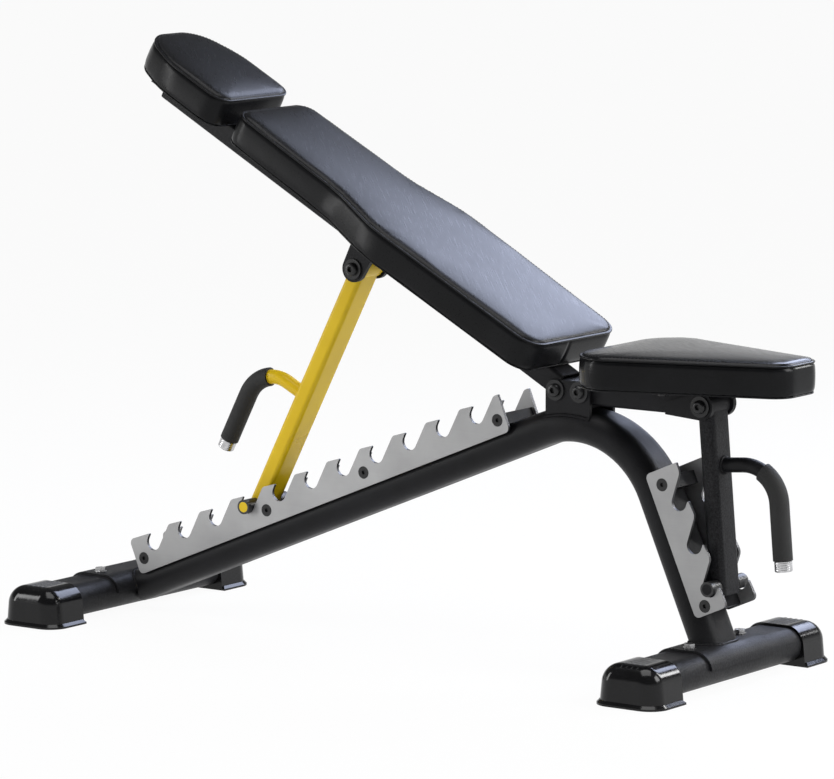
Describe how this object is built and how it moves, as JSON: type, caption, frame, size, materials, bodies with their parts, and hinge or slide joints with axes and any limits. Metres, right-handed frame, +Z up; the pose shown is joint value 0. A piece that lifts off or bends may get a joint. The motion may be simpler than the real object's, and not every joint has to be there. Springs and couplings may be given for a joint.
{
  "type": "weight_bench",
  "caption": "Adjustable weight bench: black flat-oval frame, notched steel ladders, yellow back strut, tapered seat and split back pad.",
  "frame": {"origin": "bottom centre of the whole bench's box, on the floor, at rest with the back at 29 degrees and the seat level", "axes": "+X from the head end to the seat end, +Y across the bench, +Z up"},
  "size_m": [1.2924, 0.506, 0.9049],
  "materials": {
    "frame_black": "charcoal-black textured powder coat",
    "ladder_steel": "pale satin plate with darker cut edges",
    "screw_black": "black oxide",
    "bolt_dark": "black zinc, half gloss",
    "chrome": "bright plated",
    "cap_plastic": "black moulded, glossy",
    "bush_plastic": "black nylon",
    "grip_rubber": "matt black",
    "pin_black": "black, half gloss",
    "strut_yellow": "warm yellow powder coat",
    "pad_leather": "black grained upholstery",
    "board_wood": "plywood under a black dust cloth"
  },
  "bodies": {
    "frame": {"main_tube": "frame_black", "head_foot_tube": "frame_black", "seat_foot_tube": "frame_black", "head_foot_saddle": "frame_black", "seat_foot_saddle": "frame_black", "head_foot_cap_near": "cap_plastic", "head_foot_cap_far": "cap_plastic", "seat_foot_cap_near": "cap_plastic", "seat_foot_cap_far": "cap_plastic", "foot_bolts": "chrome", "foot_nuts": "chrome", "back_ladder_near": "ladder_steel", "back_ladder_far": "ladder_steel", "seat_ladder_near": "ladder_steel", "seat_ladder_far": "ladder_steel", "ladder_spacers": "frame_black", "ladder_screws": "screw_black", "hinge_plates": "frame_black", "hinge_base": "frame_black", "hinge_bolts": "bolt_dark", "hinge_nuts": "bolt_dark"},
    "back": {"back_frame": "frame_black", "back_frame_plug": "cap_plastic", "back_hinge_sleeve": "frame_black", "back_hinge_bushes": "bush_plastic", "back_strut_ears": "frame_black", "back_strut_bolt": "bolt_dark", "back_strut_nut": "bolt_dark", "back_pad_brackets": "frame_black", "back_pad_bolts": "bolt_dark", "back_pad_board": "board_wood", "head_pad_board": "board_wood", "back_pad": "pad_leather", "head_pad": "pad_leather"},
    "back_strut": {"back_strut_tube": "strut_yellow", "back_strut_sleeve": "strut_yellow", "back_strut_bushes": "bush_plastic", "back_strut_pin": "strut_yellow", "back_pin_sleeves": "pin_black", "back_handle": "strut_yellow", "back_grip": "grip_rubber", "back_handle_cap": "chrome"},
    "seat": {"seat_frame": "frame_black", "seat_hinge_sleeve": "frame_black", "seat_hinge_bushes": "bush_plastic", "seat_strut_ears": "frame_black", "seat_strut_bolt": "bolt_dark", "seat_strut_nut": "bolt_dark", "seat_pad_brackets": "frame_black", "seat_pad_bolts": "bolt_dark", "seat_pad_board": "board_wood", "seat_pad": "pad_leather"},
    "seat_strut": {"seat_strut_tube": "frame_black", "seat_strut_sleeve": "frame_black", "seat_strut_bushes": "bush_plastic", "seat_strut_pin": "frame_black", "seat_pin_sleeves": "pin_black", "seat_handle": "frame_black", "seat_grip": "grip_rubber", "seat_handle_cap": "chrome"}
  },
  "joints": [
    {"name": "back_hinge", "type": "hinge", "parent": "frame", "child": "back", "pos_m": [0.24223, 0, 0.41036], "axis": [0, 1, 0], "range_deg": [0, 34]},
    {"name": "back_strut_pivot", "type": "hinge", "parent": "back", "child": "back_strut", "pos_m": [-0.12519, 0, 0.5635], "axis": [0, 1, 0], "range_deg": [-33, 0]},
    {"name": "seat_hinge", "type": "hinge", "parent": "frame", "child": "seat", "pos_m": [0.28423, 0, 0.41036], "axis": [0, -1, 0], "range_deg": [0, 15]},
    {"name": "seat_strut_pivot", "type": "hinge", "parent": "seat", "child": "seat_strut", "pos_m": [0.49233, 0, 0.40597], "axis": [0, -1, 0], "range_deg": [-10, 0]}
  ],
  "couplings": [
    {"joint": "back_strut_pivot", "follows": "back_hinge", "ratio": -0.95},
    {"joint": "seat_strut_pivot", "follows": "seat_hinge", "ratio": -0.65}
  ]
}
